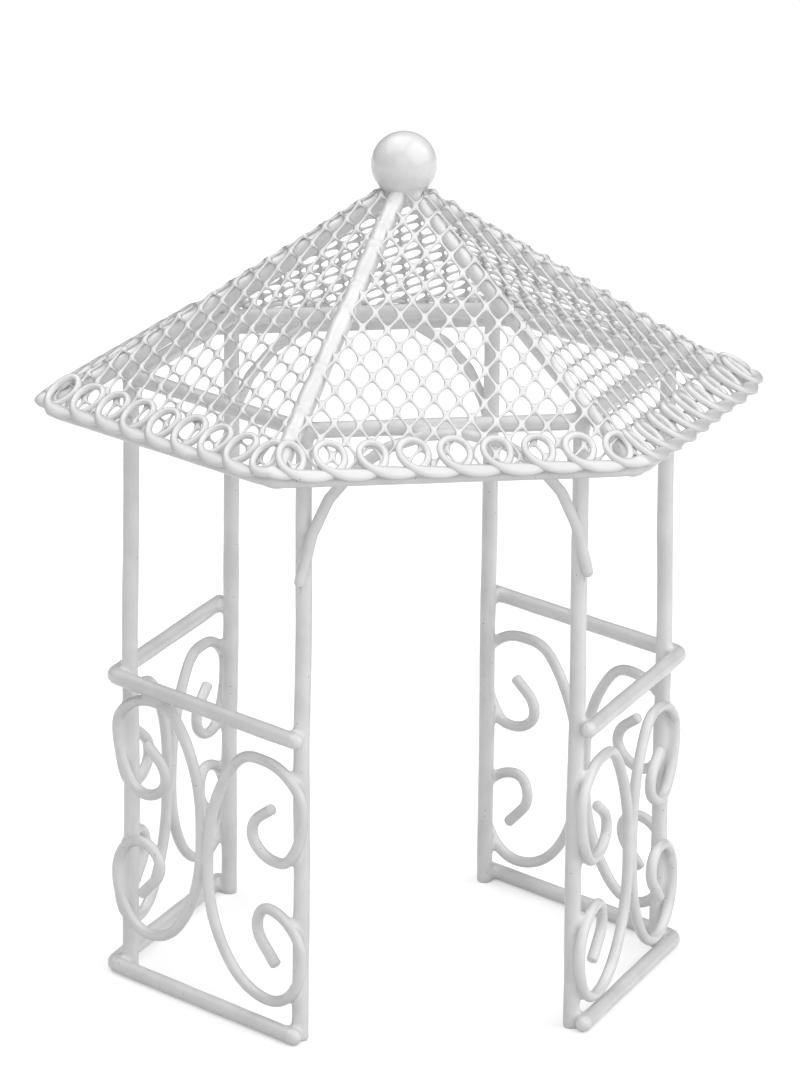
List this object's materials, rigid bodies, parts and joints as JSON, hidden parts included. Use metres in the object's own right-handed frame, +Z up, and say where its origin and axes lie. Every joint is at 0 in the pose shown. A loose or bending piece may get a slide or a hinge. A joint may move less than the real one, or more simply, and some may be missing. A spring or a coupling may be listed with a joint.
{
  "type": "miniature wire gazebo",
  "caption": "Hexagonal doll's-house garden gazebo of white coated wire, with scroll side panels, open front and back, a pointed mesh roof, looped eave trim and a ball on top.",
  "frame": {"origin": "middle of the footprint, on the ground", "axes": "+Z up, the open front faces -Y, the two railed sides are at -X and +X"},
  "size_m": [0.1402, 0.1232, 0.1616],
  "materials": {
    "rod_coat": "thick satin white coat on steel rod",
    "wire_coat": "thick satin white coat on steel wire",
    "mesh_coat": "satin white coat, pooled in the corners of the expanded mesh",
    "trim_coat": "thick satin white coat on looped wire",
    "ball_coat": "glossy white coat"
  },
  "bodies": {
    "root": {"front_left_post": "rod_coat", "left_corner_post": "rod_coat", "back_left_post": "rod_coat", "front_right_post": "rod_coat", "right_corner_post": "rod_coat", "back_right_post": "rod_coat", "left_base_rail": "rod_coat", "right_base_rail": "rod_coat", "left_mid_rail": "rod_coat", "right_mid_rail": "rod_coat", "top_ring": "rod_coat", "front_arch": "wire_coat", "back_arch": "wire_coat", "front_left_post_scroll": "wire_coat", "front_left_corner_scroll": "wire_coat", "back_left_post_scroll": "wire_coat", "back_left_corner_scroll": "wire_coat", "front_right_post_scroll": "wire_coat", "front_right_corner_scroll": "wire_coat", "back_right_post_scroll": "wire_coat", "back_right_corner_scroll": "wire_coat", "front_left_rib": "rod_coat", "left_rib": "rod_coat", "back_left_rib": "rod_coat", "front_right_rib": "rod_coat", "right_rib": "rod_coat", "back_right_rib": "rod_coat", "front_mesh": "mesh_coat", "front_right_mesh": "mesh_coat", "back_right_mesh": "mesh_coat", "back_mesh": "mesh_coat", "back_left_mesh": "mesh_coat", "front_left_mesh": "mesh_coat", "eave_rim": "rod_coat", "front_trim": "trim_coat", "front_right_trim": "trim_coat", "back_right_trim": "trim_coat", "back_trim": "trim_coat", "back_left_trim": "trim_coat", "front_left_trim": "trim_coat", "ball_finial": "ball_coat"}
  },
  "joints": []
}
